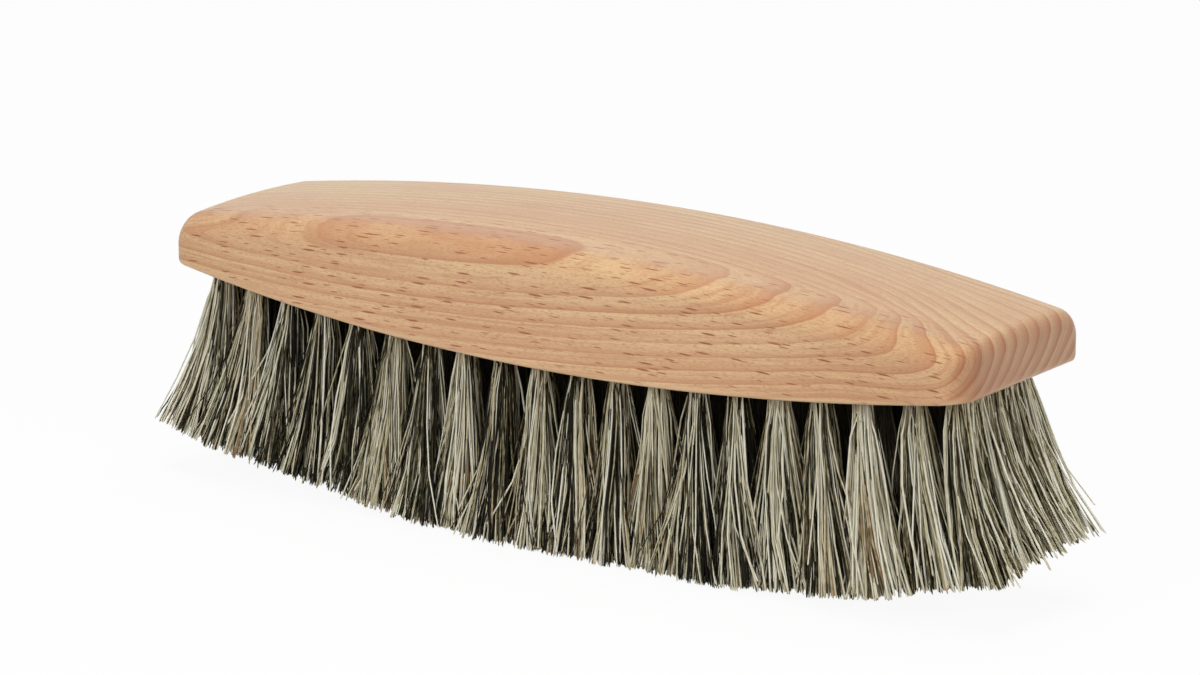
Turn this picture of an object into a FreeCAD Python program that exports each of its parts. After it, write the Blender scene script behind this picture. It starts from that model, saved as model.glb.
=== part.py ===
import FreeCAD, Part
import math
import os

from FreeCAD import Placement, Rotation, Vector

# A horsehair shine brush: a bowed beech block, drilled from below, with a tuft of hair in each hole
# and a flat wire anchor behind every tuft. X runs along the block and Z points up.
# The tips of the middle tufts, on which the brush stands, lie at Z zero.

SIZES = [
    # Block: plan, side view and cross-section.
    ("block_length", 178.4),
    ("block_middle_width", 46.0),
    ("block_end_width", 39.8),
    ("end_thickness", 9.88),
    ("top_arch", 6.96),
    ("underside_bow", 6.86),
    ("top_crown", 1.2),
    ("rim_round", 5.0),
    ("end_round", 3.0),
    ("lower_edge_round", 1.0),
    # Holes: each row crosses the block, the rows repeat along it, and the last ones have a hole less.
    ("row_count", 20),
    ("short_row_count", 2),
    ("holes_per_row", 6),
    ("hole_sides", 12),
    ("end_margin", 7.3),
    ("side_margin", 7.6),
    ("hole_diameter", 4.0),
    ("hole_depth", 8.0),
    # Hair: length below the block, spread of the tips and curve of the trimmed face.
    ("hair_length", 35.3),
    ("end_splay", 6.7),
    ("side_splay", 3.0),
    ("trim_bow", 8.7),
    ("resting_give", 0.45),
    ("tip_gap", 0.4),
    ("tuft_clearance", 0.15),
    # Anchors: flat wire across the bottom of each hole.
    ("anchor_thickness", 0.4),
    ("anchor_height", 1.8),
    ("anchor_clearance", 0.05),
    # Extra reach of every cutting shape.
    ("overrun", 5.0),
]

# Sides of a tuft's section.
TUFT_SIDES = 8
# Corners cut off a tuft's section, as shares of its half width: even at the hole, fuller at the tips.
ROOT_CORNER_SHARE = 2 - math.sqrt(2)
TIP_CORNER_SHARE = 0.4
# Largest part of the rim's rounding that the rounding of the end faces may take up.
END_ROUND_SHARE = 0.9
# Steps in the rounding of each end face.
END_STEPS = 6

doc = FreeCAD.newDocument("ShineBrush")
sheet = doc.addObject("Spreadsheet::Sheet", "Sizes")
for number, (alias, value) in enumerate(SIZES, start=1):
    sheet.set(f"A{number}", alias)
    sheet.set(f"B{number}", str(value))
    sheet.setAlias(f"B{number}", alias)
doc.recompute()
size = {alias: float(sheet.get(alias)) for alias, value in SIZES}


# Curves that the block and the hair follow.

def bow(half_span, rise):
    """Curvature of an arc that rises by the given height over half of its span, negative for a waist."""
    return 2 * rise / (half_span ** 2 + rise ** 2)


def drop(curvature, distance):
    """Height between the crest of an arc and a point at a distance from the crest."""
    bend = curvature * distance
    return bend * distance / (1 + math.sqrt(1 - bend ** 2))


half_length = size["block_length"] / 2
half_middle = size["block_middle_width"] / 2
side_bow = half_middle - size["block_end_width"] / 2
side_curve = bow(half_length, side_bow)
underside_curve = bow(half_length, size["underside_bow"])
top_curve = bow(half_length, size["top_arch"])
crown_radius = 1 / bow(half_middle, size["top_crown"])
top_height = size["hair_length"] + size["underside_bow"] + size["end_thickness"] + size["top_arch"]

row_count = int(size["row_count"])
full_row_count = row_count - int(size["short_row_count"])
full_row_holes = int(size["holes_per_row"])
end_row_root = half_length - size["end_margin"]
end_row_tip = end_row_root + size["end_splay"]
root_pitch = 2 * end_row_root / (row_count - 1)
tip_pitch = 2 * end_row_tip / (row_count - 1)
trim_curve = bow(end_row_tip, size["trim_bow"])


def half_width(x):
    """Half width of the block at a place along it."""
    return half_middle - drop(side_curve, x)


def underside(x):
    """Height of the drilled face at a place along the block."""
    return size["hair_length"] + drop(underside_curve, x)


def trimmed_face(x):
    """Height of the hair tips: bowed, and flat in the middle where the hair gives under the brush."""
    return max(0, drop(trim_curve, x) - size["resting_give"])


def ruled_solid(sections):
    """Solid that runs straight from section to section: flats between lines, ruled faces between arcs."""
    faces = [Part.Face(sections[0]), Part.Face(sections[-1])]
    for near, far in zip(sections, sections[1:]):
        for first, second in zip(near.OrderedEdges, far.OrderedEdges):
            if isinstance(first.Curve, Part.Line):
                corners = [first.firstVertex(True), first.lastVertex(True),
                           second.lastVertex(True), second.firstVertex(True)]
                points = [corner.Point for corner in corners]
                faces.append(Part.Face(Part.makePolygon(points + points[:1])))
            else:
                faces.append(Part.makeRuledSurface(first, second))
    shell = Part.makeShell(faces)
    shell.sewShape()
    solid = Part.Solid(Part.Shell(shell.Faces))
    if solid.Volume < 0:
        solid.reverse()
    return solid


# The wooden block.

def block_section(x, inset=0, lift=0):
    """Cross-section of the block: flat below, upright sides, rounded rims and a crowned top.

    Near an end the section draws in by the inset at its sides and top, and its foot lifts.
    """
    side = half_width(x) - inset
    foot = underside(x) + lift
    crest = top_height - drop(top_curve, x) - inset
    rim = size["rim_round"] - inset
    ease = size["lower_edge_round"]

    crown_centre = crest - crown_radius
    rim_y = side - rim
    rim_z = crown_centre + math.sqrt((crown_radius - rim) ** 2 - rim_y ** 2)
    turn = math.atan2(rim_z - crown_centre, rim_y)
    shoulder = (rim_y + rim * math.cos(turn), rim_z + rim * math.sin(turn))
    rim_middle = (rim_y + rim * math.cos(turn / 2), rim_z + rim * math.sin(turn / 2))
    half_turn = math.sqrt(2) / 2
    ease_middle = (side - ease + ease * half_turn, foot + ease - ease * half_turn)

    def point(place, hand):
        return Vector(x, hand * place[0], place[1])

    def arc(start, middle, end, hand):
        first, last = (start, end) if hand > 0 else (end, start)
        return Part.Arc(point(first, hand), point(middle, hand), point(last, hand)).toShape()

    low, high = (side, foot + ease), (side, rim_z)
    heel = (side - ease, foot)
    crown = Part.Arc(point(shoulder, 1), Vector(x, 0, crest), point(shoulder, -1)).toShape()
    return Part.Wire([
        Part.makeLine(point(heel, -1), point(heel, 1)),
        arc(heel, ease_middle, low, 1),
        Part.makeLine(point(low, 1), point(high, 1)),
        arc(high, rim_middle, shoulder, 1),
        crown,
        arc(high, rim_middle, shoulder, -1),
        Part.makeLine(point(high, -1), point(low, -1)),
        arc(heel, ease_middle, low, -1),
    ])


def end_sections(hand):
    """Sections that round one end of the block off, from the full section to the end face."""
    end_round = min(size["end_round"], END_ROUND_SHARE * size["rim_round"])
    ease = size["lower_edge_round"]
    for step in range(END_STEPS + 1):
        angle = math.pi / 2 * step / END_STEPS
        to_end = end_round * (1 - math.sin(angle))
        inset = end_round * (1 - math.cos(angle))
        reach = max(0, ease - to_end)
        lift = ease - math.sqrt(ease ** 2 - reach ** 2)
        yield block_section(hand * (half_length - to_end), inset, lift)


def shaped_block():
    """Block before drilling, with a flat under each row of holes so that the underside follows its bow."""
    flats = [root_pitch * (number - row_count / 2) for number in range(1, row_count)]
    sections = [*reversed(list(end_sections(-1))), *map(block_section, flats), *end_sections(1)]
    blank = doc.addObject("Part::Feature", "ShapedBlock")
    blank.Shape = ruled_solid(sections)
    return blank


# Rows of holes, anchors and tufts.

class Row:
    """One row across the block: where its holes start, and where the tips of its hair end."""

    def __init__(self, number):
        share = 2 * number / (row_count - 1) - 1
        root_x, tip_x = share * end_row_root, share * end_row_tip
        self.label = f"{number + 1:02d}"
        self.hole_count = full_row_holes if number < full_row_count else full_row_holes - 1
        self.tip_half_length = (tip_pitch - size["tip_gap"]) / 2
        inner = trimmed_face(tip_x - self.tip_half_length)
        outer = trimmed_face(tip_x + self.tip_half_length)
        rise = underside(root_x) - (inner + outer) / 2
        self.length = math.hypot(root_x - tip_x, rise)
        lean = math.atan2(root_x - tip_x, rise)
        self.tip_turn = lean + math.atan2(outer - inner, 2 * self.tip_half_length)
        turn = Rotation(Vector(0, 1, 0), math.degrees(lean))
        self.place = Placement(Vector(root_x, 0, underside(root_x)), turn)
        full_half_width = half_width(root_x) - size["side_margin"]
        self.root_half_width = full_half_width * (self.hole_count - 1) / (full_row_holes - 1)
        self.tip_half_width = self.root_half_width + size["side_splay"]
        tip_spacing = 2 * self.tip_half_width / (self.hole_count - 1)
        self.tip_half_depth = (tip_spacing - size["tip_gap"]) / 2

    def holes(self):
        """Mouth of each hole in the row's own frame, with the axis of the hole along its Z."""
        for number in range(self.hole_count):
            share = 2 * number / (self.hole_count - 1) - 1
            inward = share * (self.root_half_width - self.tip_half_width)
            turn = Rotation(Vector(0, 0, 1), Vector(0, inward, self.length))
            yield Placement(Vector(0, share * self.root_half_width, 0), turn)


hole_across = size["hole_diameter"] * math.cos(math.pi / size["hole_sides"])
HOLE_ACROSS = "Sizes.hole_diameter * cos(180 deg / Sizes.hole_sides)"
anchor_start = size["hole_depth"] - size["anchor_clearance"] - size["anchor_height"]
root_end = anchor_start - size["anchor_clearance"]


def drilled_hole(place):
    """Blind hole for one tuft, with its round wall in flats."""
    hole = doc.addObject("Part::Prism", "Hole")
    hole.setExpression("Polygon", "Sizes.hole_sides")
    hole.setExpression("Circumradius", "Sizes.hole_diameter / 2")
    hole.setExpression("Height", "Sizes.hole_depth + Sizes.overrun")
    hole.Placement = place * Placement(Vector(0, 0, -size["overrun"]), Rotation())
    return hole


def anchor(place):
    """Flat wire across the bottom of one hole, from wall to wall."""
    length = hole_across - 2 * size["anchor_clearance"]
    plate = doc.addObject("Part::Box", "Anchor")
    plate.setExpression("Length", f"{HOLE_ACROSS} - 2 * Sizes.anchor_clearance")
    plate.setExpression("Width", "Sizes.anchor_thickness")
    plate.setExpression("Height", "Sizes.anchor_height")
    corner = Vector(-length / 2, -size["anchor_thickness"] / 2, anchor_start)
    plate.Placement = place * Placement(corner, Rotation())
    return plate


def tuft_section(half_u, half_v, corner, place):
    """Eight-sided section of a tuft."""
    short_u, short_v = half_u - corner, half_v - corner
    outline = [(half_u, -short_v), (half_u, short_v), (short_u, half_v), (-short_u, half_v),
               (-half_u, short_v), (-half_u, -short_v), (-short_u, -half_v), (short_u, -half_v)]
    section = Part.makePolygon([Vector(*corner_place) for corner_place in outline + outline[:1]])
    section.Placement = place
    return section


def tuft(row, hole):
    """One tuft in the row's frame: it spreads evenly from its anchor, through the mouth, to its tips."""
    turn = Rotation(Vector(0, 1, 0), -math.degrees(row.tip_turn))
    mouth = hole.Base
    tip_place = Vector(0, mouth.y * row.tip_half_width / row.root_half_width, -row.length)
    root_place = hole.multVec(Vector(0, 0, root_end))
    depth_share = root_end / (root_end + (mouth - tip_place).Length)

    def at_root(at_mouth, at_tip):
        return (at_mouth - at_tip * depth_share) / (1 - depth_share)

    mouth_half = (hole_across / 2 - size["tuft_clearance"]) * math.cos(math.pi / TUFT_SIDES)
    tip = [row.tip_half_length, row.tip_half_depth]
    tip.append(TIP_CORNER_SHARE * min(tip))
    root = map(at_root, (mouth_half, mouth_half, ROOT_CORNER_SHARE * mouth_half), tip)
    return ruled_solid([
        tuft_section(*tip, Placement(tip_place, turn)),
        tuft_section(*root, Placement(root_place, turn)),
    ])


def group(name, members):
    """Shapes that belong together and do not touch each other."""
    compound = doc.addObject("Part::Compound", name)
    compound.Links = members
    return compound


wood = doc.addObject("Part::Cut", "WoodBlock")
wood.Base = shaped_block()
rows = [Row(number) for number in range(row_count)]
wood.Tool = group("Holes", [drilled_hole(row.place * hole) for row in rows for hole in row.holes()])
wood.Label = "wood_block"
pieces = [wood]

for row in rows:
    hair = doc.addObject("Part::Feature", "Tufts")
    hair.Shape = Part.makeCompound([tuft(row, hole) for hole in row.holes()])
    hair.Placement = row.place
    hair.Label = f"tuft_row_{row.label}"
    anchors = group("Anchors", [anchor(row.place * hole) for hole in row.holes()])
    anchors.Label = f"anchor_row_{row.label}"
    pieces += [hair, anchors]

doc.recompute()

for item in doc.Objects:
    if "Invalid" in item.State or "Error" in item.State:
        raise RuntimeError(f"{item.Name} did not build")
for piece in pieces:
    if piece.Shape.isNull() or not piece.Shape.isValid():
        raise RuntimeError(f"{piece.Label} has no valid shape")

os.makedirs("parts", exist_ok=True)
for piece in pieces:
    piece.Shape.exportStep(f"parts/{piece.Label}.step")
print(f"{len(pieces)} nodes, {sum(len(piece.Shape.Solids) for piece in pieces)} solids, "
      f"block of {wood.Shape.Volume / 1000:.1f} cubic centimetres")
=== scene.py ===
import math

import bpy
import numpy as np
from mathutils import Matrix, Vector


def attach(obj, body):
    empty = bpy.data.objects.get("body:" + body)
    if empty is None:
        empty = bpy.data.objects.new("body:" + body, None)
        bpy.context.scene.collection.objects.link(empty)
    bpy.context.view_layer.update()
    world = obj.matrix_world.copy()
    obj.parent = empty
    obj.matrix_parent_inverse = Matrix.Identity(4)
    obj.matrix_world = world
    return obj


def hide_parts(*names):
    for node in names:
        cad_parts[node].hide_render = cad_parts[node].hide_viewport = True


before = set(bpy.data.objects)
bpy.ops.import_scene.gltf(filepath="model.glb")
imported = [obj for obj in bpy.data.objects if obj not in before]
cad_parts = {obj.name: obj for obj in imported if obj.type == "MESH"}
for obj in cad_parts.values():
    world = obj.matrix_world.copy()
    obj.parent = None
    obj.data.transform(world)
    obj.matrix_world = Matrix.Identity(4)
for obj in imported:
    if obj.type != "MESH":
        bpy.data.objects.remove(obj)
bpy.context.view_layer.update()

MM = 0.001

# Beech block, in millimetres, as the CAD block is shaped.
HALF_LENGTH = 89.2
HALF_MIDDLE_WIDTH = 23.0
SIDE_BOW = 3.1
UNDERSIDE_BOW = 6.86
TOP_ARCH = 6.96
TOP_CROWN = 1.2
TOP_HEIGHT = 59.0
RIM_ROUND = 5.0
END_ROUND = 3.0
LOWER_EDGE_ROUND = 1.0

# Rounder than in CAD: the top edge of the left end and the near corner of the right end.
# The rim's rounding shrinks into the corners, down to a least.
LEFT_TOP_ROUND = 4.2
NEAR_CORNER_ROUND = 6.0
LEAST_RIM_ROUND = 0.8

# Points of the block's mesh: on the parts of half a section, round an end and along the block.
UNDERSIDE_POINTS = 9
LOWER_EDGE_POINTS = 7
SIDE_POINTS = 9
RIM_POINTS = 15
TOP_POINTS = 13
END_POINTS = 14
LENGTH_POINTS = 72

# Rows of holes and tufts, in millimetres: the last rows have a tuft less.
ROWS = 20
SHORT_ROWS = 2
TUFTS = 6
END_ROW = 81.9
SIDE_MARGIN = 7.6
HOLE_RADIUS = 2.0
HOLE_DEPTH = 8.0
HOLE_SIDES = 20
HAIR_LENGTH = 35.3
END_SPLAY = 6.7
SIDE_SPLAY = 3.0
TRIM_BOW = 8.7
TRIM_SPAN = 88.6
RESTING_GIVE = 0.45

# Hair of one tuft, in millimetres.
LOCKS = 80
LOCK_HAIRS = 7
HAIR_RADIUS = 0.124
MOUTH_RADIUS = 1.86
ROOT_DEPTH_SHARE = 0.06
END_LEAN = 5.1
SIDE_LEAN = 2.4
FAN_ALONG = 7.2
FAN_ACROSS = 4.6


def drop(half_span, rise, distance):
    """Height between the crest of an arc and a point at a distance from the crest."""
    curvature = 2 * rise / (half_span ** 2 + rise ** 2)
    return curvature * distance ** 2 / (1 + math.sqrt(1 - (curvature * distance) ** 2))


def half_width(x):
    return HALF_MIDDLE_WIDTH - drop(HALF_LENGTH, SIDE_BOW, x)


def underside(x):
    return HAIR_LENGTH + drop(HALF_LENGTH, UNDERSIDE_BOW, x)


# Node trees.

class Wire:
    """An output socket. Operators between wires, numbers and vectors add the nodes that work them out."""

    def __init__(self, graph, socket):
        self.graph = graph
        self.socket = socket

    def __getitem__(self, name):
        """Another output of the same node."""
        return Wire(self.graph, live(self.socket.node.outputs, name))

    def through(self, operation, *others):
        """The wire after a Math node, which takes the others as its further inputs."""
        return self.graph.sum(operation, self, *others)

    def least(self, floor, softness=0.0):
        """The wire, or the floor where the wire is lower."""
        return self.through("SMOOTH_MAX", floor, softness)

    def most(self, ceiling, softness=0.0):
        """The wire, or the ceiling where the wire is higher."""
        return self.through("SMOOTH_MIN", ceiling, softness)

    def __add__(self, other):
        return self.through("ADD", other)

    def __radd__(self, other):
        return self.graph.sum("ADD", other, self)

    def __sub__(self, other):
        return self.through("SUBTRACT", other)

    def __rsub__(self, other):
        return self.graph.sum("SUBTRACT", other, self)

    def __mul__(self, other):
        return self.through("MULTIPLY", other)

    def __rmul__(self, other):
        return self.graph.sum("MULTIPLY", other, self)

    def __truediv__(self, other):
        return self.through("DIVIDE", other)

    def __rtruediv__(self, other):
        return self.graph.sum("DIVIDE", other, self)

    def __pow__(self, exponent):
        return self.through("POWER", exponent)


def live(sockets, name):
    """Socket of that name or number, among those that the node's settings leave in use."""
    used = [socket for socket in sockets if socket.enabled]
    if isinstance(name, int):
        return used[name]
    return next(socket for socket in used if socket.name == name)


class Graph:
    """A node tree in the making."""

    def __init__(self, tree):
        self.tree = tree

    def node(self, kind, settings=None, feeds=None, out=0):
        """Adds a node, sets it up, feeds its sockets and returns one of its outputs."""
        made = self.tree.nodes.new(kind)
        for name, value in (settings or {}).items():
            if name == "stops":
                self.lay_stops(made.color_ramp, value)
            else:
                setattr(made, name, value)
        for name, value in (feeds or {}).items():
            socket = live(made.inputs, name)
            if isinstance(value, Wire):
                self.tree.links.new(value.socket, socket)
            else:
                socket.default_value = value
        return Wire(self, live(made.outputs, out)) if made.outputs else made

    def lay_stops(self, ramp, stops):
        while len(ramp.elements) < len(stops):
            ramp.elements.new(0.5)
        for element, (place, colour) in zip(ramp.elements, stops):
            element.position = place
            element.color = (*colour, 1)

    def feed(self, shader, wires):
        """Links wires to a shader's sockets."""
        for name, wire in wires.items():
            self.tree.links.new(wire.socket, shader.inputs[name])

    def sum(self, operation, *feeds):
        """Math node, or Vector Math node where a vector takes part."""
        vector = any(isinstance(feed, Wire) and feed.socket.type == "VECTOR" for feed in feeds)
        kind = "ShaderNodeVectorMath" if vector else "ShaderNodeMath"
        if vector:
            feeds = [feed if isinstance(feed, (Wire, tuple)) else (feed,) * 3 for feed in feeds]
        return self.node(kind, {"operation": operation}, dict(enumerate(feeds)))

    def apart(self, vector):
        """The three parts of a vector."""
        split = self.node("ShaderNodeSeparateXYZ", feeds={0: vector})
        return split["X"], split["Y"], split["Z"]

    def together(self, x, y, z):
        return self.node("ShaderNodeCombineXYZ", feeds={0: x, 1: y, 2: z})

    def blend(self, share, first, second):
        """Colour between two colours."""
        return self.node("ShaderNodeMix", {"data_type": "RGBA"}, {"Factor": share, "A": first, "B": second})

    def dim(self, share, colour, filtered):
        """Colour behind a filter."""
        return self.node("ShaderNodeMix", {"data_type": "RGBA", "blend_type": "MULTIPLY"},
                         {"Factor": share, "A": colour, "B": filtered})

    def fade(self, value, start, end, low=0.0, high=1.0):
        """Smooth step from low to high while a value goes from start to end."""
        return self.node("ShaderNodeMapRange", {"interpolation_type": "SMOOTHSTEP"},
                         {"Value": value, "From Min": start, "From Max": end, "To Min": low, "To Max": high})

    def noise(self, vector, detail=2.0, roughness=0.5):
        return self.node("ShaderNodeTexNoise", feeds={"Vector": vector, "Scale": 1.0, "Detail": detail,
                                                      "Roughness": roughness})


def bare_material(name):
    """New material, its node tree in the making and its shader."""
    material = bpy.data.materials.new(name)
    material.use_nodes = True
    return material, Graph(material.node_tree), material.node_tree.nodes["Principled BSDF"]


def bare_tree(name, inputs):
    """New geometry node tree, in the making, and the wire that enters it, which gives its inputs by name."""
    tree = bpy.data.node_groups.new(name, "GeometryNodeTree")
    tree.interface.new_socket("Geometry", in_out="INPUT", socket_type="NodeSocketGeometry")
    tree.interface.new_socket("Geometry", in_out="OUTPUT", socket_type="NodeSocketGeometry")
    for label, kind in inputs.items():
        tree.interface.new_socket(label, in_out="INPUT", socket_type="NodeSocket" + kind)
    graph = Graph(tree)
    return tree, graph, graph.node("NodeGroupInput")


def end_tree(graph, geometry, material):
    whole = graph.node("GeometryNodeRealizeInstances", feeds={"Geometry": geometry})
    painted = graph.node("GeometryNodeSetMaterial", feeds={"Geometry": whole, "Material": material})
    graph.node("NodeGroupOutput", feeds={"Geometry": painted})


def keep(graph, geometry, name, value, kind="FLOAT", domain="POINT"):
    """Geometry with one more named attribute."""
    return graph.node("GeometryNodeStoreNamedAttribute", {"data_type": kind, "domain": domain},
                      {"Geometry": geometry, "Name": name, "Value": value})


def kept(graph, name, kind="FLOAT"):
    return graph.node("GeometryNodeInputNamedAttribute", {"data_type": kind}, {"Name": name})


def in_scene(name, data):
    """New object in the scene."""
    placed = bpy.data.objects.new(name, data)
    bpy.context.scene.collection.objects.link(placed)
    return placed


def made_by(tree, name, mesh, values):
    """Plain mesh piece that a tree makes from a mesh and the values of its inputs."""
    piece = in_scene(name, mesh)
    modifier = piece.modifiers.new("Nodes", "NODES")
    modifier.node_group = tree
    for socket in tree.interface.items_tree:
        if socket.in_out == "INPUT" and socket.name in values:
            modifier[socket.identifier] = values[socket.name]
    depsgraph = bpy.context.evaluated_depsgraph_get()
    result = bpy.data.meshes.new_from_object(piece.evaluated_get(depsgraph), depsgraph=depsgraph)
    piece.modifiers.clear()
    piece.data = result
    result.name = name
    return piece


# Growth rings of the block, counted from a heart that lies along the near rim.
# Places and spacings are in millimetres, bends in rings for each square millimetre, widths in rings.
# A range holds where a change starts and ends and, where that isn't 0 to 1, the values there.
HEART_X = -20.0
HEART_BEND = 0.00029
HEART_TILT = 0.02
HEART_WIDTH = 0.45
HEART_SOFTNESS = 0.3
RIM_LEVEL = 56.2
RIM_FALL = 0.00088
RIM_SOFTNESS = 6.0
WIDE_SIDE_LEVEL = 55.5
WIDE_SIDE_SPACING = 3.26
CLOSE_SIDE_LEVEL = 53.8
CLOSE_SIDE_SPACING = 2.4
SIDE_SOFTNESS = 0.8
RIM_STEP = (-20.5, -12.5, 0.0, 0.5)
CLOSE_TOP_Y = -12.9
CLOSE_TOP_SPACING = 1.5
WIDE_TOP_Y = -14.1
WIDE_TOP_SPACING = 2.4
TOP_SOFTNESS = 1.0
RIGHT_BEND = 0.00064
LEFT_BEND = 0.00017
BENDING_TOP = (-18.0, -7.0)
FAR_SIDE = (11.0, 20.0)
FAR_SIDE_LEVEL = 57.0
FAR_SIDE_SPACING = 2.7
TAIL_X = -30.0
TAIL_BEND = 0.001
TAIL_LEVELS = (47.0, 53.0)
RING_SQUARENESS = 2.5

# Rings on the end grain at the right, which take over near the end.
END_RINGS = (62.0, 90.0)
END_SPACING = 3.9
END_CURL_LEVEL = 52.0
END_CURL = 0.02
END_SLANT = 0.09
END_COUNT = 4.48

# Rings wander: length, width and height of a patch of sway or ripple, and the rings by which it moves them.
SWAY_SPAN = (75.0, 16.0, 16.0)
SWAY_RINGS = 0.5
RIPPLE_SPAN = (14.0, 3.0, 3.0)
RIPPLE_RINGS = 0.15


def growth_rings(graph, place):
    """Rings between the heart and a place on the block."""
    x, y, z = graph.apart(place)

    # Down the near side.
    level = (RIM_LEVEL - x * x * RIM_FALL).most(z, RIM_SOFTNESS)
    wide_side = (WIDE_SIDE_LEVEL - level) / WIDE_SIDE_SPACING
    close_side = (CLOSE_SIDE_LEVEL - level) / CLOSE_SIDE_SPACING
    below = wide_side.least(close_side, SIDE_SOFTNESS).least(0.0, SIDE_SOFTNESS)
    span = x - HEART_X
    beside = (span * span * HEART_BEND + span * HEART_TILT - HEART_WIDTH + below).least(0.0, HEART_SOFTNESS)

    # Over the top and down the far side.
    close_top = (y - CLOSE_TOP_Y) / CLOSE_TOP_SPACING
    wide_top = (y - WIDE_TOP_Y) / WIDE_TOP_SPACING
    over = graph.fade(y, *RIM_STEP) + close_top.most(wide_top, TOP_SOFTNESS).least(0.0, TOP_SOFTNESS)
    right = x.least(0.0)
    left = x.most(0.0)
    over = over + (right * right * RIGHT_BEND + left * left * LEFT_BEND) * graph.fade(y, *BENDING_TOP)
    over = over + graph.fade(y, *FAR_SIDE) * (FAR_SIDE_LEVEL - z) / FAR_SIDE_SPACING

    # Along the rim to the left.
    tail = (TAIL_X - x).least(0.0)
    tail = tail * tail * graph.fade(z, *TAIL_LEVELS) * TAIL_BEND
    rings = beside ** RING_SQUARENESS + over ** RING_SQUARENESS + tail ** RING_SQUARENESS
    rings = rings ** (1 / RING_SQUARENESS)

    curl = (END_CURL_LEVEL - z).least(0.0)
    end_rings = y / END_SPACING + curl * curl * END_CURL + x * END_SLANT + END_COUNT
    sway = graph.noise(place / SWAY_SPAN, detail=1.0) - 0.5
    ripple = graph.noise(place / RIPPLE_SPAN) - 0.5
    return rings + (end_rings - rings) * graph.fade(x, *END_RINGS) + sway * SWAY_RINGS + ripple * RIPPLE_RINGS


# Rays: spindles of two sizes, as length and spacing in millimetres, share that shows and strength.
RAYS = ((13.0, 1.5, 0.85, 1.0), (9.0, 1.0, 0.60, 0.85))
LEAST_RAY_SIZE = 0.095
RAY_SIZE_RANGE = 0.08
RAY_EDGE = (1.0, 0.45)
RAY_SHOWING_RANGE = 0.3
NEAR_RAYS = (-9.0, -14.0, 0.15, 1.0)


def ray_flecks(graph, place):
    """Strength of the short spindles that rays show, most of all on the near side."""
    x, y, z = graph.apart(place)
    flecks = 0.0
    for length, spacing, showing_share, strength in RAYS:
        spread = graph.together(x / length, (y + z) / spacing, 0.0)
        cell = graph.node("ShaderNodeTexVoronoi", {"voronoi_dimensions": "2D"},
                          {"Vector": spread, "Scale": 1.0})
        size_pick, showing_pick = graph.apart(cell["Color"])[:2]
        size = size_pick * RAY_SIZE_RANGE + LEAST_RAY_SIZE
        spindle = graph.fade(cell["Distance"] / size, *RAY_EDGE)
        showing = graph.fade(showing_pick, 1 - showing_share, 1 - showing_share + RAY_SHOWING_RANGE)
        flecks = flecks + spindle * showing * strength
    return flecks * graph.fade(y, *NEAR_RAYS)


# Oiled beech: ranges as for the rings, and colours.
END_FACING = (0.28, 0.88)
FIRST_RINGS_PACE = 0.651
FIRST_RINGS_LEAD = 0.697
SLOW_DARKENING = 1.6
SLOW_SHARE = 0.62
QUICK_DARKENING = 8.0
YEAR_END = (1.0, 0.96)
LEAST_YEAR_STRENGTH = 0.75
YEAR_STRENGTH_RANGE = 0.5
END_GRAIN_GAIN = 0.7
LEFT_TONE = (-80.0, -30.0, 0.85, 1.0)
FAR_PALE = (-70.0, 20.0)
NEAR_TO_FAR = (-18.0, 4.0)
NEAR_PALE_COLOUR = (0.655, 0.446, 0.244, 1)
FAR_LEFT_COLOUR = (0.640, 0.492, 0.262, 1)
FAR_RIGHT_COLOUR = (0.640, 0.466, 0.250, 1)
LATE_WOOD_COLOUR = (0.46, 0.205, 0.100, 1)
RAY_COLOUR = (0.29, 0.094, 0.040, 1)

# Layers of grain: length, width and height of a patch in millimetres, and colours.
CLOUD_SPAN = (40.0, 10.0, 10.0)
FIBRE_SPAN = (9.0, 0.28, 0.28)
PORE_SPAN = (0.9, 0.16, 0.16)
STREAK_LENGTH = 32.0
STREAK_WIDTH = 9.0
STREAKS_PER_RING = 4.0
CLOUD_COLOUR = (0.54, 0.285, 0.155, 1)
STREAK_COLOUR = (0.43, 0.195, 0.090, 1)
FIBRE_COLOUR = (0.42, 0.205, 0.100, 1)
PORE_COLOUR = (0.37, 0.175, 0.085, 1)

# Edge light and oil: a painted highlight on the pale lower and left edges, end grain that drinks more oil,
# and a near side darker towards its ends. The lower edge rises with the square of x.
FOOT_CURVE = 0.000862
# Painted highlight along the lower edge and the left edge: where it starts and is full, and its share there.
LIT_FOOT = (1.6, 0.4, 0.0, 0.35)
LIT_LEFT_EDGE = (-86.8, -89.0, 0.0, 0.45)
EDGE_LIGHT_COLOUR = (0.70, 0.495, 0.290, 1)
END_OIL = (0.785, 0.70, 0.70, 1)
SIDE_ENDS_TINT = (0.92, 0.89, 0.86, 1)
DARKER_ENDS = (2300.0, 7600.0)
DARKER_ENDS_TILT = 6.0
DARKER_RIGHT_TILT = 24.0
DARKER_SIDE = (-8.0, -16.0)
OIL_ROUGHNESS = 0.31
FIBRE_ROUGHNESS = 0.12
RAY_ROUGHNESS = 0.1
FIBRE_RELIEF = 0.25
PORE_RELIEF = 0.2
RAY_RELIEF = 0.3
RING_RELIEF = 0.3
RELIEF_STRENGTH = 0.25
RELIEF_DEPTH = 0.12
WOOD_IOR = 1.46


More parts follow.
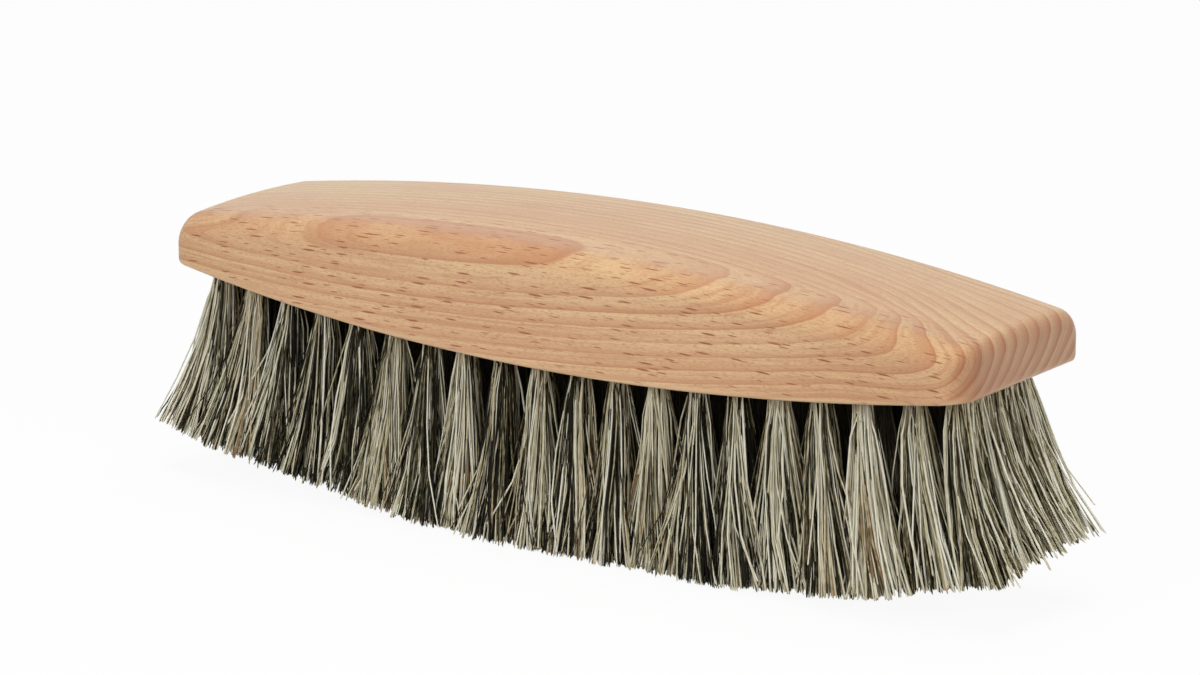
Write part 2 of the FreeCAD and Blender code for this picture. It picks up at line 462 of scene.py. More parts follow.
def oiled_beech():
    material, graph, shader = bare_material("oiled_beech")
    coordinates = graph.node("ShaderNodeTexCoord", out="Object")
    place = coordinates * (1 / MM)
    x, y, z = graph.apart(place)
    facing = graph.apart(coordinates["Normal"])[0].through("ABSOLUTE")
    end_grain = graph.fade(facing, *END_FACING)

    # Each year starts pale and ends dark, some years more than others.
    rings = growth_rings(graph, place)
    years = rings.least(rings * FIRST_RINGS_PACE + FIRST_RINGS_LEAD)
    season = years.through("FRACT")
    year = years.through("FLOOR")
    year_pick = graph.node("ShaderNodeTexWhiteNoise", {"noise_dimensions": "1D"}, {"W": year}, out="Value")
    late = season ** SLOW_DARKENING * SLOW_SHARE + season ** QUICK_DARKENING * (1 - SLOW_SHARE)
    late = late * graph.fade(season, *YEAR_END)
    strength = year_pick * YEAR_STRENGTH_RANGE + LEAST_YEAR_STRENGTH
    ring_tone = late * strength * (end_grain * END_GRAIN_GAIN + 1.0)
    ring_tone = ring_tone * graph.fade(x, *LEFT_TONE)
    far = graph.blend(graph.fade(x, *FAR_PALE), FAR_LEFT_COLOUR, FAR_RIGHT_COLOUR)
    pale = graph.blend(graph.fade(y, *NEAR_TO_FAR), NEAR_PALE_COLOUR, far)
    colour = graph.blend(ring_tone, pale, LATE_WOOD_COLOUR)

    # Layers over the rings: where each sets in and is full, its share there and its colour.
    streaks = graph.together(x / STREAK_LENGTH, rings * STREAKS_PER_RING, y / STREAK_WIDTH)
    cloud = graph.noise(place / CLOUD_SPAN)
    streak = graph.noise(streaks, detail=3.0, roughness=0.65)
    fibre = graph.noise(place / FIBRE_SPAN, detail=3.0, roughness=0.6)
    pore = graph.noise(place / PORE_SPAN, detail=1.0)
    for layer, sets_in, full, share, tint in ((cloud, 0.40, 0.70, 0.40, CLOUD_COLOUR),
                                              (streak, 0.42, 0.72, 0.55, STREAK_COLOUR),
                                              (fibre, 0.35, 0.75, 0.32, FIBRE_COLOUR),
                                              (pore, 0.50, 0.72, 0.58, PORE_COLOUR)):
        colour = graph.blend(graph.fade(layer, sets_in, full, 0.0, share), colour, tint)
    flecks = ray_flecks(graph, place) * (1.0 - end_grain)
    colour = graph.blend(flecks, colour, RAY_COLOUR)

    # Painted highlights make the lower edge and the left edge paler. End grain drinks more oil, and the near
    # side is darker towards its ends.
    foot = z - x * x * FOOT_CURVE - HAIR_LENGTH
    # Painted highlight: the lower edge and the left edge turn paler, as if they caught light from the floor
    # and from the left.
    painted_edge_light = graph.fade(foot, *LIT_FOOT).least(graph.fade(x, *LIT_LEFT_EDGE))
    colour = graph.blend(painted_edge_light, colour, EDGE_LIGHT_COLOUR)
    colour = graph.dim(end_grain, colour, END_OIL)
    # The near side is darker towards its ends, starting nearer the middle on the right.
    to_ends = x * x + x * DARKER_ENDS_TILT + x.least(0.0) * DARKER_RIGHT_TILT
    colour = graph.dim(graph.fade(to_ends, *DARKER_ENDS) * graph.fade(y, *DARKER_SIDE), colour, SIDE_ENDS_TINT)

    rough = OIL_ROUGHNESS + fibre * FIBRE_ROUGHNESS + flecks * RAY_ROUGHNESS
    relief = fibre * FIBRE_RELIEF - pore * PORE_RELIEF - flecks * RAY_RELIEF - late * RING_RELIEF
    bump = graph.node("ShaderNodeBump", feeds={"Strength": RELIEF_STRENGTH, "Distance": RELIEF_DEPTH * MM,
                                               "Height": relief})
    graph.feed(shader, {"Base Color": colour, "Roughness": rough, "Normal": bump})
    shader.inputs["IOR"].default_value = WOOD_IOR
    return material


# Horsehair: each hair has its own tone, from dark through beige and cream to brown, banded along its length
# partly by its own tone and partly by painted glints and crossing shadows.
HAIR_TONES = ((0.0, (0.006, 0.005, 0.003)), (0.36, (0.013, 0.011, 0.004)), (0.43, (0.12, 0.099, 0.049)),
              (0.49, (0.43, 0.380, 0.232)), (0.60, (0.66, 0.624, 0.450)), (0.73, (0.80, 0.782, 0.655)),
              (0.90, (0.54, 0.440, 0.270)), (0.98, (0.24, 0.150, 0.075)))
BANDS_PER_HAIR = 4.0
BAND_OFFSET = 371.0
BAND_RANGE = 0.16
TIP_MIDDLE = 0.45
TIP_RANGE = 0.3
# Painted shade at the roots: where it fades on hair deep inside the brush, the darkening of all roots, and
# its colour.
DEEP_PAINTED_SHADE = (0.25, 0.62, 0.96, 0.0)
ROOT_PAINTED_SHADE = (0.15, 1.0, 0.85, 1.0)
PAINTED_SHADE_COLOUR = (0.023, 0.021, 0.011, 1)
HAIR_ROUGHNESS = 0.62
BAND_ROUGHNESS = 0.2
HAIR_IOR = 1.5
HAIR_SPECULAR = 0.2


def horsehair():
    material, graph, shader = bare_material("horsehair")
    tone, along, deep = (graph.node("ShaderNodeAttribute", {"attribute_name": name}, out="Fac")
                         for name in ("tone", "along", "deep"))
    # Bands along a hair: partly its own tone and partly painted glints and crossing shadows.
    band = graph.node("ShaderNodeTexNoise", {"noise_dimensions": "1D"},
                      {"W": along * BANDS_PER_HAIR + tone * BAND_OFFSET, "Detail": 1.0})
    banded = tone + (band - 0.5) * BAND_RANGE + (tone - TIP_MIDDLE) * along * TIP_RANGE
    colour = graph.node("ShaderNodeValToRGB", {"stops": HAIR_TONES}, {"Fac": banded})

    # Painted shade: hair deep inside the brush is dark from root to middle, and all hair darkens a little to
    # its root.
    painted_shade = deep * graph.fade(along, *DEEP_PAINTED_SHADE)
    painted_shade = 1.0 - (1.0 - painted_shade) * graph.fade(along, *ROOT_PAINTED_SHADE)
    colour = graph.blend(painted_shade, colour, PAINTED_SHADE_COLOUR)
    graph.feed(shader, {"Base Color": colour, "Roughness": HAIR_ROUGHNESS - band * BAND_ROUGHNESS})
    shader.inputs["IOR"].default_value = HAIR_IOR
    shader.inputs["Specular IOR Level"].default_value = HAIR_SPECULAR
    return material


# Drawn steel of the anchors, scratched along the wire.
SCRATCHES = (0.4, 22.0, 22.0)
DARK_STEEL_COLOUR = (0.46, 0.47, 0.48, 1)
PALE_STEEL_COLOUR = (0.62, 0.63, 0.64, 1)
STEEL_ROUGHNESS = 0.25
SCRATCH_ROUGHNESS = 0.25


def drawn_steel():
    material, graph, shader = bare_material("drawn_steel")
    place = graph.node("ShaderNodeTexCoord", out="Object") * (1 / MM)
    scratch = graph.noise(place * SCRATCHES, detail=3.0)
    colour = graph.blend(scratch, DARK_STEEL_COLOUR, PALE_STEEL_COLOUR)
    graph.feed(shader, {"Base Color": colour, "Roughness": STEEL_ROUGHNESS + scratch * SCRATCH_ROUGHNESS})
    shader.inputs["Metallic"].default_value = 1.0
    return material


# The block: sections along its length, then holes drilled by a node tree.

def rounding(radius, to_end):
    """How far a rounded edge lies inside the edge that it rounds, at a distance from the end."""
    return radius - math.sqrt(radius ** 2 - max(0, radius - to_end) ** 2)


def block_section(x, top_round, corner_round):
    """Points of one half of a section, from the middle of the underside over the side to the crest."""
    to_end = HALF_LENGTH - abs(x)
    inset = rounding(corner_round, to_end)
    side = half_width(x) - inset
    foot = underside(x) + rounding(LOWER_EDGE_ROUND, to_end)
    crest = TOP_HEIGHT - drop(HALF_LENGTH, TOP_ARCH, x) - rounding(top_round, to_end)
    rim = max(RIM_ROUND - inset, LEAST_RIM_ROUND)
    ease = LOWER_EDGE_ROUND
    crown_radius = (HALF_MIDDLE_WIDTH ** 2 + TOP_CROWN ** 2) / (2 * TOP_CROWN)
    crown_centre = crest - crown_radius
    rim_y = side - rim
    rim_z = crown_centre + math.sqrt((crown_radius - rim) ** 2 - rim_y ** 2)
    turn = math.atan2(rim_z - crown_centre, rim_y)
    points = [(share * (side - ease), foot) for share in np.linspace(0, 1, UNDERSIDE_POINTS)]
    for angle in np.linspace(-math.pi / 2, 0, LOWER_EDGE_POINTS)[1:]:
        points.append((side - ease + ease * math.cos(angle), foot + ease + ease * math.sin(angle)))
    for share in np.linspace(0, 1, SIDE_POINTS)[1:]:
        points.append((side, foot + ease + share * (rim_z - foot - ease)))
    for angle in np.linspace(0, turn, RIM_POINTS)[1:]:
        points.append((rim_y + rim * math.cos(angle), rim_z + rim * math.sin(angle)))
    shoulder = points[-1][0]
    for share in np.linspace(1, 0, TOP_POINTS)[1:]:
        y = share * shoulder
        points.append((y, crown_centre + math.sqrt(crown_radius ** 2 - y ** 2)))
    return points


def block_shell():
    """Closed mesh of the block before it is drilled."""
    turns = np.linspace(0, math.pi / 2, END_POINTS)
    left = [LEFT_TOP_ROUND * (1 - math.cos(turn)) - HALF_LENGTH for turn in turns]
    right = [HALF_LENGTH - NEAR_CORNER_ROUND * (1 - math.cos(turn)) for turn in turns]
    places = left + list(np.linspace(left[-1], right[-1], LENGTH_POINTS)[1:-1]) + right[::-1]
    corners, faces = [], []
    for x in places:
        top_round, near_round = (LEFT_TOP_ROUND, END_ROUND) if x < 0 else (END_ROUND, NEAR_CORNER_ROUND)
        far_half = block_section(x, top_round, END_ROUND)
        near_half = block_section(x, top_round, near_round)
        loop = far_half + [(-y, z) for y, z in near_half[-2:0:-1]]
        corners += [(x * MM, y * MM, z * MM) for y, z in loop]
    around = len(loop)
    for ring in range(len(places) - 1):
        for place in range(around):
            ahead = (place + 1) % around
            near, far = ring * around, (ring + 1) * around
            faces.append((near + place, far + place, far + ahead, near + ahead))
    faces.append(tuple(range(around)))
    last = (len(places) - 1) * around
    faces.append(tuple(last + place for place in reversed(range(around))))
    mesh = bpy.data.meshes.new("beech_block")
    mesh.from_pydata(corners, [], faces)
    mesh.validate()
    return mesh


# Edges of the block that turn by more than this, in radians, stay crisp.
CRISP_ANGLE = 0.6


def drilling_tree(material):
    """Cuts a row of holes through the underside for each row of tufts."""
    tree, graph, start = bare_tree("drilling", {
        "Full Rows": "Int", "Short Rows": "Int", "Holes": "Int", "Hole Sides": "Int", "End Row": "Float",
        "Pitch": "Float", "Middle Reach": "Float", "Side Curve": "Float", "Underside": "Float",
        "Underside Curve": "Float", "End Splay": "Float", "Side Splay": "Float", "Radius": "Float",
        "Depth": "Float"})
    drill = graph.node("GeometryNodeMeshCylinder", feeds={
        "Vertices": start["Hole Sides"], "Radius": start["Radius"],
        "Depth": start["Depth"] * 2.0}, out="Mesh")

    def drills(rows, holes, first_row):
        """A drill at each hole of some rows, turned along the tuft that the hole will hold."""
        grid = graph.node("GeometryNodeMeshGrid", feeds={
            "Size X": 2.0, "Size Y": 2.0, "Vertices X": rows, "Vertices Y": holes}, out="Mesh")
        along, over = graph.apart(graph.node("GeometryNodeInputPosition"))[:2]
        x = first_row + (along + 1.0) * 0.5 * (rows - 1.0) * start["Pitch"]
        reach = (start["Middle Reach"] - x * x * start["Side Curve"]) * (holes - 1.0) / (start["Holes"] - 1.0)
        height = start["Underside"] + x * x * start["Underside Curve"]
        lean_x = x / start["End Row"] * start["End Splay"] * -1.0
        lean = graph.together(lean_x, over * start["Side Splay"] * -1.0, height)
        placed = keep(graph, grid, "lean", lean, "FLOAT_VECTOR")
        placed = graph.node("GeometryNodeSetPosition", feeds={
            "Geometry": placed, "Position": graph.together(x, over * reach, height)})
        turn = graph.node("FunctionNodeAlignRotationToVector", {"axis": "Z"},
                          {"Vector": kept(graph, "lean", "FLOAT_VECTOR")})
        return graph.node("GeometryNodeInstanceOnPoints", feeds={
            "Points": placed, "Instance": drill, "Rotation": turn})

    first_row = start["End Row"] * -1.0
    full = drills(start["Full Rows"], start["Holes"], first_row)
    first_short_row = first_row + start["Full Rows"] * start["Pitch"]
    short = drills(start["Short Rows"], start["Holes"] - 1.0, first_short_row)
    joined = graph.node("GeometryNodeJoinGeometry", feeds={"Geometry": full})
    graph.tree.links.new(short.socket, joined.socket.node.inputs[0])
    solid = graph.node("GeometryNodeRealizeInstances", feeds={"Geometry": joined})
    drilled = graph.node("GeometryNodeMeshBoolean", {"operation": "DIFFERENCE", "solver": "MANIFOLD"},
                         {"Mesh 1": start["Geometry"], "Mesh 2": solid})
    drilled = graph.node("GeometryNodeRemoveAttribute", feeds={"Geometry": drilled, "Name": "lean"})
    angle = graph.node("GeometryNodeInputMeshEdgeAngle", out="Unsigned Angle")
    smooth = graph.node("GeometryNodeSetShadeSmooth", {"domain": "FACE"}, {"Geometry": drilled})
    crisp = graph.node("GeometryNodeSetShadeSmooth", {"domain": "EDGE"},
                       {"Geometry": smooth, "Shade Smooth": angle.through("LESS_THAN", CRISP_ANGLE)})
    end_tree(graph, crisp, material)
    return tree


# One strand of hair: its sides, its rings and how near the tip the last ring lies.
STRAND_SIDES = 3
STRAND_RINGS = 5
LAST_RING_SHARE = 0.99
LEAST_WIDTH = 0.0001

# Odd hairs, by the chances between which a hair becomes one, and the spread of locks and hairs, as shares.
BOLD_CHANCE = (0.988, 0.989)
LOOSE_CHANCE = (0.55, 1.0)
STRAY_CHANCE = (0.95, 1.0)
SHORT_CHANCE = (0.90, 1.0)
BOLD_STRAY_SHARE = 0.6
LOCK_CROWDING = 0.4
ROOT_DISC_SHARE = 0.92
TIP_DISC_SHARE = 0.76
TIP_LOCK_SHARE = 0.38
HAIR_SHARE = 0.04
LOOSE_SHARE = 0.36
STRAY_SHARE = 0.45
SIDE_FAN_SHARE = 0.82

# Trim, bow and wave of the hair, in millimetres.
# Cuts and lift hold where they start and end, and their amounts there.
RIGHT_CUT = (2.0, 55.0, 0.0, 1.2)
LEFT_CUT = (-55.0, -80.0, 0.0, 0.3)
LAST_ROWS = (65.0, 82.0)
FAR_CORNER_LIFT = (-22.0, 4.0, 0.0, 3.0)
LEAST_TRIM = 0.05
RAGGEDNESS = 3.0
RAGGED_HAIR = 0.9
RAGGED_LOCK = 0.8
SHORTEST_CUT = 7.0
TUFT_DRIFT = 1.3
LOCK_BOW = 0.8
HAIR_BOW = 0.3
LOOSE_BOW = 0.6
STRAY_BOW = 2.2
LOCK_WAVE = 0.40
HAIR_WAVE = 0.28
FLARE_SHARE = 0.64

# Tone and girth of the hair, as shares.
HAIR_TONE_SHARE = 0.42
LOCK_TONE_SHARE = 0.44
TUFT_TONE_SHARE = 0.14
MIDDLE_TONE = 0.52
BOLD_TONE = 0.73
LEAST_GIRTH = 0.7
MOST_GIRTH = 1.3
TONE_GIRTH = (0.38, 0.60, 0.80, 1.15)
BOLD_GIRTH = 0.3
TIP_GIRTH = 0.15
TIP_POINT = (1.0, 0.995)
OUTER_TUFT = 0.99

# Random streams of a row, and the margin of a hair's cell in the map for baked colours.
STREAMS = 64.0
CELL_MARGIN_SHARE = 0.15


def hair_tree(material):
    """A strand stands on every tuft of a row many times over, and each copy bends to its own root and tip."""
    tree, graph, start = bare_tree("row_of_tufts", {
        "Tufts": "Int", "Locks": "Int", "Lock Hairs": "Int", "Seed": "Int", "Outer Row": "Float",
        "Paleness": "Float", "Contrast": "Float", "Disorder": "Float", "Root": "Vector",
        "Root Reach": "Float", "Tip Lean": "Float", "Tip Reach": "Float", "Fan Along": "Float",
        "Fan Across": "Float", "Mouth Radius": "Float", "Root Depth": "Float", "Trim Curve": "Float",
        "Resting Give": "Float", "Hair Radius": "Float"})

    def chance(stream, low=0.0, high=1.0, ident=None):
        """Random number of each hair, or of each lock or tuft where its number is given."""
        feeds = {"Min": low, "Max": high, "Seed": start["Seed"] * STREAMS + stream}
        if ident is not None:
            feeds["ID"] = ident
        return graph.node("FunctionNodeRandomValue", {"data_type": "FLOAT"}, feeds)

    def drift(stream, ident=None):
        """Random push along and across the block."""
        return graph.together(chance(stream, -1.0, 1.0, ident), chance(stream + 1, -1.0, 1.0, ident), 0.0)

    # One strand: a thin cone whose rings are told apart by their height.
    cone = graph.node("GeometryNodeMeshCone", {"fill_type": "NGON"}, {
        "Vertices": STRAND_SIDES, "Side Segments": STRAND_RINGS, "Radius Top": 0.0, "Radius Bottom": 1.0,
        "Depth": 1.0}, out="Mesh")
    ring_x, ring_y, height = graph.apart(graph.node("GeometryNodeInputPosition"))
    rise = height * (LAST_RING_SHARE / (1 - 1 / STRAND_RINGS))
    strand = keep(graph, cone, "along", rise.most(1.0))
    width = (ring_x * ring_x + ring_y * ring_y) ** 0.5 + LEAST_WIDTH
    strand = keep(graph, strand, "ring", graph.together(ring_x / width, ring_y / width, 0.0), "FLOAT_VECTOR")
    turn = ring_y.through("ARCTAN2", ring_x)
    strand = keep(graph, strand, "around", turn / (2 * math.pi * (1 - 1 / STRAND_SIDES)) + 0.5)

    # Hairs of the row, counted lock by lock and tuft by tuft.
    count = start["Tufts"] * start["Locks"] * start["Lock Hairs"]
    line = graph.node("GeometryNodeMeshLine", {"mode": "OFFSET"}, {"Count": count})
    index = graph.node("GeometryNodeInputIndex")
    lock = (index / start["Lock Hairs"]).through("FLOOR")
    tuft = (lock / start["Locks"]).through("FLOOR")
    across = tuft / (start["Tufts"] - 1.0) * 2.0 - 1.0

    # Where a lock lies in its tuft, and how far a hair leaves its lock.
    bearing = chance(1, 0.0, 2 * math.pi, lock)
    out = chance(2, 0.0, 1.0, lock) ** LOCK_CROWDING
    disc = graph.together(out * bearing.through("COSINE"), out * bearing.through("SINE"), 0.0)
    beside = drift(3) + drift(5)
    bold = graph.fade(chance(31), *BOLD_CHANCE)
    loose = graph.fade(chance(7), *LOOSE_CHANCE) * start["Disorder"]
    stray = graph.fade(chance(8), *STRAY_CHANCE).least(bold * BOLD_STRAY_SHARE)
    away = drift(9) + drift(11)
    root_disc = disc * ROOT_DISC_SHARE + beside * HAIR_SHARE
    tip_disc = disc * TIP_DISC_SHARE + drift(33, lock) * TIP_LOCK_SHARE + beside * HAIR_SHARE
    tip_disc = tip_disc + away * (loose * LOOSE_SHARE + stray * STRAY_SHARE)

    # Root and tip of a hair, and the way that it bends between them.
    disc_x, disc_y = graph.apart(root_disc)[:2]
    fan_x, fan_y = graph.apart(tip_disc)[:2]
    mouth = start["Mouth Radius"]
    root = start["Root"] + graph.together(disc_x * mouth, disc_y * mouth + across * start["Root Reach"], 0.0)
    root_x = graph.apart(start["Root"])[0]
    tip_x = root_x + start["Tip Lean"] + fan_x * start["Fan Along"]
    side_fan = fan_y.least(-SIDE_FAN_SHARE).most(SIDE_FAN_SHARE)
    tip_y = across * start["Tip Reach"] + side_fan * start["Fan Across"]
    trim = tip_x * tip_x * start["Trim Curve"] - start["Resting Give"]
    trim = trim - graph.fade(tip_x, *RIGHT_CUT) - graph.fade(tip_x, *LEFT_CUT)
    trim = trim + graph.fade(root_x, *LAST_ROWS) * graph.fade(tip_y, *FAR_CORNER_LIFT)
    ragged = chance(13) ** RAGGEDNESS * RAGGED_HAIR + chance(14, 0.0, 1.0, lock) ** RAGGEDNESS * RAGGED_LOCK
    cut_short = graph.fade(chance(15), *SHORT_CHANCE) * chance(16) * SHORTEST_CUT
    trim = trim.least(LEAST_TRIM) + ragged + cut_short
    tip = graph.together(tip_x, tip_y, trim) + drift(17, tuft) * TUFT_DRIFT
    bow = drift(19, lock) * LOCK_BOW + drift(21) * (stray * STRAY_BOW + loose * LOOSE_BOW + HAIR_BOW)
    wave = drift(23, lock) * LOCK_WAVE + drift(25) * HAIR_WAVE

    # Tone and girth of a hair.
    tone = chance(27) * HAIR_TONE_SHARE + chance(28, 0.0, 1.0, lock) * LOCK_TONE_SHARE
    tone = tone + chance(29, 0.0, 1.0, tuft) * TUFT_TONE_SHARE
    tone = (tone - MIDDLE_TONE) * start["Contrast"] + start["Paleness"] + MIDDLE_TONE
    tone = tone + (BOLD_TONE - tone) * bold
    girth = chance(30, LEAST_GIRTH, MOST_GIRTH) * graph.fade(tone, *TONE_GIRTH) + bold * BOLD_GIRTH
    # Hairs off the outer rows and outer tufts are deep, and get painted shade at their roots.
    outer = across.through("ABSOLUTE").through("GREATER_THAN", OUTER_TUFT)
    deep = 1.0 - outer.least(start["Outer Row"])

    hairs = line
    for name, value in (("root", root), ("tip", tip), ("bow", bow), ("wave", wave)):
        hairs = keep(graph, hairs, name, value, "FLOAT_VECTOR")
    for name, value in (("tone", tone), ("girth", girth), ("deep", deep), ("number", index)):
        hairs = keep(graph, hairs, name, value)
    hairs = graph.node("GeometryNodeSetPosition", feeds={"Geometry": hairs, "Position": (0, 0, 0)})
    copies = graph.node("GeometryNodeInstanceOnPoints", feeds={"Points": hairs, "Instance": strand})
    whole = graph.node("GeometryNodeRealizeInstances", feeds={"Geometry": copies})

    # Each copy runs from inside its hole to its tip.
    along = kept(graph, "along")
    from_root, to_tip, bow, wave, ring = (kept(graph, name, "FLOAT_VECTOR")
                                          for name in ("root", "tip", "bow", "wave", "ring"))
    depth = start["Root Depth"]
    travel = along * (1.0 + depth) - depth
    arch = travel * (1.0 - travel) * 4.0
    swing = (travel * (2 * math.pi)).through("SINE")
    flare = travel * (1 - FLARE_SHARE) + travel * travel * FLARE_SHARE
    path = from_root + (to_tip - from_root) * graph.together(flare, flare, travel)
    path = path + bow * arch + wave * swing
    thickness = kept(graph, "girth") * start["Hair Radius"] * (1.0 + along * TIP_GIRTH)
    thickness = thickness * graph.fade(along, *TIP_POINT)
    place = (path + ring * thickness) * MM
    bent = graph.node("GeometryNodeSetPosition", feeds={"Geometry": whole, "Position": place})
    bent = graph.node("GeometryNodeSetShadeSmooth", {"domain": "FACE"}, {"Geometry": bent})

    # Every hair has a cell of its own in the map for baked colours.
    side = (count ** 0.5).through("CEIL")
    number = kept(graph, "number")
    column = number.through("MODULO", side)
    line_up = (number / side).through("FLOOR")
    inside_share = 1 - 2 * CELL_MARGIN_SHARE
    spot_x = (column + CELL_MARGIN_SHARE + kept(graph, "around") * inside_share) / side
    spot_y = (line_up + CELL_MARGIN_SHARE + along * inside_share) / side
    mapped = keep(graph, bent, "OFBake", graph.together(spot_x, spot_y, 0.0), "FLOAT2", "CORNER")
    for name in ("root", "tip", "bow", "wave", "girth", "number", "ring", "around"):
        mapped = graph.node("GeometryNodeRemoveAttribute", feeds={"Geometry": mapped, "Name": name})
    end_tree(graph, mapped, material)
    return tree


# Look of a row: what all rows have, what is added towards the right end, and what the last rows add.
PALENESS = (-0.075, 0.10, 0.005)
CONTRAST = (1.25, -0.45, -0.13)
DISORDER = (1.7, -1.0, 0.15)
RADIUS = (HAIR_RADIUS, 0.025, 0.008)
LEFT_RADIUS = 0.01
LAST_LEAN = 2.4
LAST_ROWS_POWER = 10
LAST_LEAN_POWER = 9


def graded(amounts, right_share, power=2):
    """Value of a row at a share of the way from the middle to the right end."""
    everywhere, to_right, in_last = amounts
    return everywhere + to_right * right_share ** power + in_last * right_share ** LAST_ROWS_POWER


beech = oiled_beech()
hair = horsehair()
steel = drawn_steel()

block = made_by(drilling_tree(beech), "beech_block", block_shell(), {
    "Full Rows": ROWS - SHORT_ROWS, "Short Rows": SHORT_ROWS, "Holes": TUFTS, "Hole Sides": HOLE_SIDES,
    "End Row": END_ROW * MM, "Pitch": 2 * END_ROW / (ROWS - 1) * MM,
    "Middle Reach": (HALF_MIDDLE_WIDTH - SIDE_MARGIN) * MM,
    "Side Curve": drop(HALF_LENGTH, SIDE_BOW, END_ROW) / END_ROW ** 2 / MM,
    "Underside": HAIR_LENGTH * MM,
    "Underside Curve": drop(HALF_LENGTH, UNDERSIDE_BOW, END_ROW) / END_ROW ** 2 / MM,
    "End Splay": END_SPLAY * MM, "Side Splay": SIDE_SPLAY * MM,
    "Radius": HOLE_RADIUS * MM, "Depth": HOLE_DEPTH * MM})
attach(block, "root")
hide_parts("wood_block")

tufts = hair_tree(hair)
for row in range(ROWS):
    share = 2 * row / (ROWS - 1) - 1
    right_share = max(share, 0)
    left_share = max(-share, 0)
    root_x = share * END_ROW
    tuft_count = TUFTS if row < ROWS - SHORT_ROWS else TUFTS - 1
    reach = (half_width(root_x) - SIDE_MARGIN) * (tuft_count - 1) / (TUFTS - 1)
    name = f"hair_row_{row + 1:02d}"
    piece = made_by(tufts, name, bpy.data.meshes.new(name), {
        "Tufts": tuft_count, "Locks": LOCKS, "Lock Hairs": LOCK_HAIRS, "Seed": row + 1,
        "Outer Row": float(row in (0, ROWS - 1)), "Paleness": graded(PALENESS, right_share, 3),
        "Contrast": graded(CONTRAST, right_share), "Disorder": graded(DISORDER, right_share),
        "Root": (root_x, 0.0, underside(root_x)), "Root Reach": reach,
        "Tip Lean": share * END_LEAN + LAST_LEAN * right_share ** LAST_LEAN_POWER,
        "Tip Reach": reach + SIDE_LEAN, "Fan Along": FAN_ALONG, "Fan Across": FAN_ACROSS,
        "Mouth Radius": MOUTH_RADIUS, "Root Depth": ROOT_DEPTH_SHARE,
        "Trim Curve": TRIM_BOW / TRIM_SPAN ** 2, "Resting Give": RESTING_GIVE,
        "Hair Radius": graded(RADIUS, right_share) + LEFT_RADIUS * left_share ** 2})
    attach(piece, "root")
    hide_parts(f"tuft_row_{row + 1:02d}")

for name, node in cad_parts.items():
    if name.startswith("anchor_row"):
        node.data.materials.clear()
        node.data.materials.append(steel)


# Stage, in metres and watts: a pale floor, a white surround and three soft lamps that point at the brush.
FLOOR_REACH = 6.0
FLOOR_COLOUR = (0.80, 0.80, 0.80, 1)
FLOOR_ROUGHNESS = 0.9
FLOOR_WHITE_SHARE = 0.93
WHITE = (1, 1, 1, 1)
SURROUND_LIGHT = 0.16
LAMP_AIM = (0.0, 0.0, 0.03)
SOFTBOXES = (("left_softbox", (-0.15, -1.14, 0.55), 0.5, 7.6),
             ("right_softbox", (1.3, -0.45, 0.55), 0.6, 7.8),
             ("top_softbox", (0.0, 0.1, 1.3), 0.9, 11.6))


def sees_white(graph):
    """1 for rays of the camera, reflections and glass, which see white, and 0 for light on the object."""
    path = graph.node("ShaderNodeLightPath", out="Is Camera Ray")
    return path.least(path["Is Glossy Ray"]).least(path["Is Transmission Ray"])


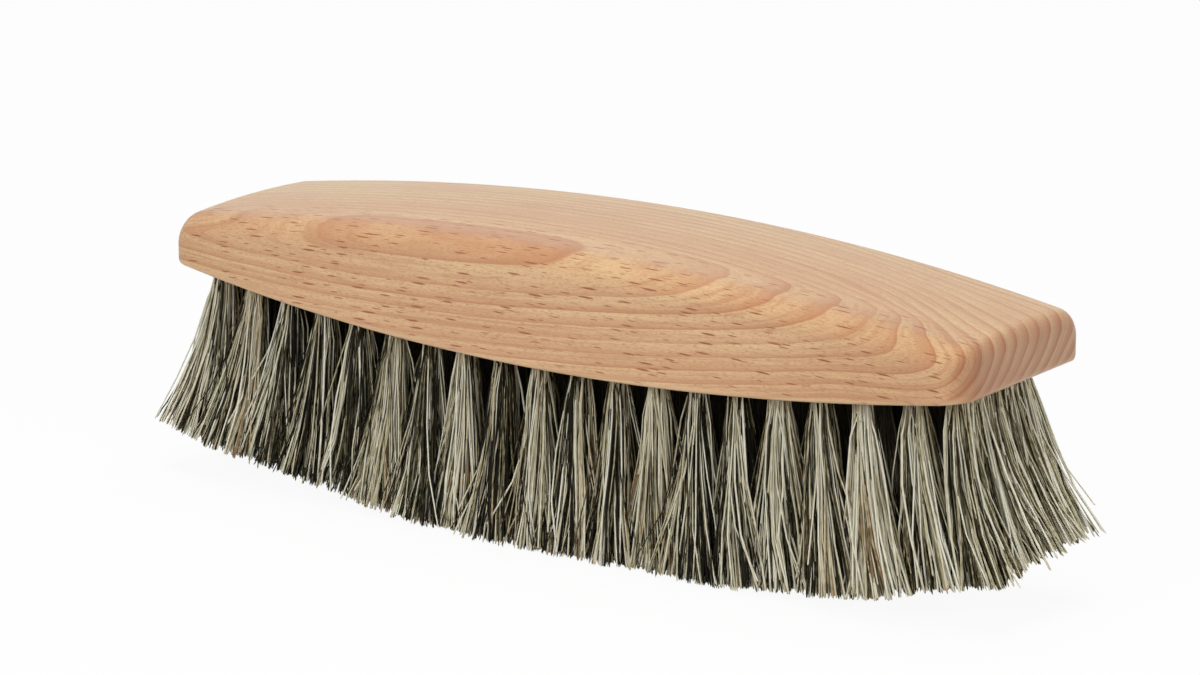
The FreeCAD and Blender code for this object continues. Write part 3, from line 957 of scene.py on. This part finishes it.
def stage():
    world = bpy.data.worlds.new("surround")
    bpy.context.scene.world = world
    world.use_nodes = True
    graph = Graph(world.node_tree)
    background = world.node_tree.nodes["Background"]
    background.inputs["Color"].default_value = WHITE
    graph.feed(background, {"Strength": sees_white(graph) * (1 - SURROUND_LIGHT) + SURROUND_LIGHT})

    floor_mesh = bpy.data.meshes.new("floor")
    corners = [(-FLOOR_REACH, -FLOOR_REACH, 0), (FLOOR_REACH, -FLOOR_REACH, 0),
               (FLOOR_REACH, FLOOR_REACH, 0), (-FLOOR_REACH, FLOOR_REACH, 0)]
    floor_mesh.from_pydata(corners, [], [(0, 1, 2, 3)])
    floor = in_scene("floor", floor_mesh)
    paint, graph, matt = bare_material("pale_floor")
    matt.inputs["Base Color"].default_value = FLOOR_COLOUR
    matt.inputs["Roughness"].default_value = FLOOR_ROUGHNESS
    glow = graph.node("ShaderNodeEmission", feeds={"Color": WHITE, "Strength": 1.0})
    shown = graph.node("ShaderNodeMixShader", feeds={0: sees_white(graph) * FLOOR_WHITE_SHARE,
                                                     1: Wire(graph, matt.outputs[0]), 2: glow})
    graph.feed(paint.node_tree.nodes["Material Output"], {"Surface": shown})
    floor_mesh.materials.append(paint)

    for name, place, width, power in SOFTBOXES:
        lamp = bpy.data.lights.new(name, "AREA")
        lamp.energy = power
        lamp.size = width
        holder = in_scene(name, lamp)
        holder.location = place
        holder.visible_glossy = False
        toward = Vector(LAMP_AIM) - Vector(place)
        holder.rotation_euler = toward.to_track_quat("-Z", "Y").to_euler()


# Camera where the photographer stood, with angles in degrees and places in millimetres.
# The lens is given in pixels of the photograph.
CAMERA_AZIMUTH = 35.65
CAMERA_ELEVATION = 14.72
CAMERA_DISTANCE = 921.0
CAMERA_TO_RIGHT = -1.86
CAMERA_UP = -5.10
CAMERA_AIM_HEIGHT = 41.9
FOCAL_PIXELS = 4967
PHOTO_PIXELS = 1200
SENSOR_WIDTH = 36.0


def camera():
    azimuth = math.radians(CAMERA_AZIMUTH)
    elevation = math.radians(CAMERA_ELEVATION)
    back = Vector((math.sin(azimuth) * math.cos(elevation), -math.cos(azimuth) * math.cos(elevation),
                   math.sin(elevation)))
    right = Vector((math.cos(azimuth), math.sin(azimuth), 0))
    up = back.cross(right)
    aim = Vector((0, 0, CAMERA_AIM_HEIGHT))
    place = back * CAMERA_DISTANCE + right * CAMERA_TO_RIGHT + up * CAMERA_UP + aim
    lens = bpy.data.cameras.new("camera")
    lens.sensor_width = SENSOR_WIDTH
    lens.lens = FOCAL_PIXELS / PHOTO_PIXELS * SENSOR_WIDTH
    holder = in_scene("camera", lens)
    turn = Matrix((right, up, back)).transposed().to_4x4()
    holder.matrix_world = Matrix.Translation(place * MM) @ turn
    bpy.context.scene.camera = holder


stage()
camera()
bpy.context.scene.view_settings.view_transform = "Standard"
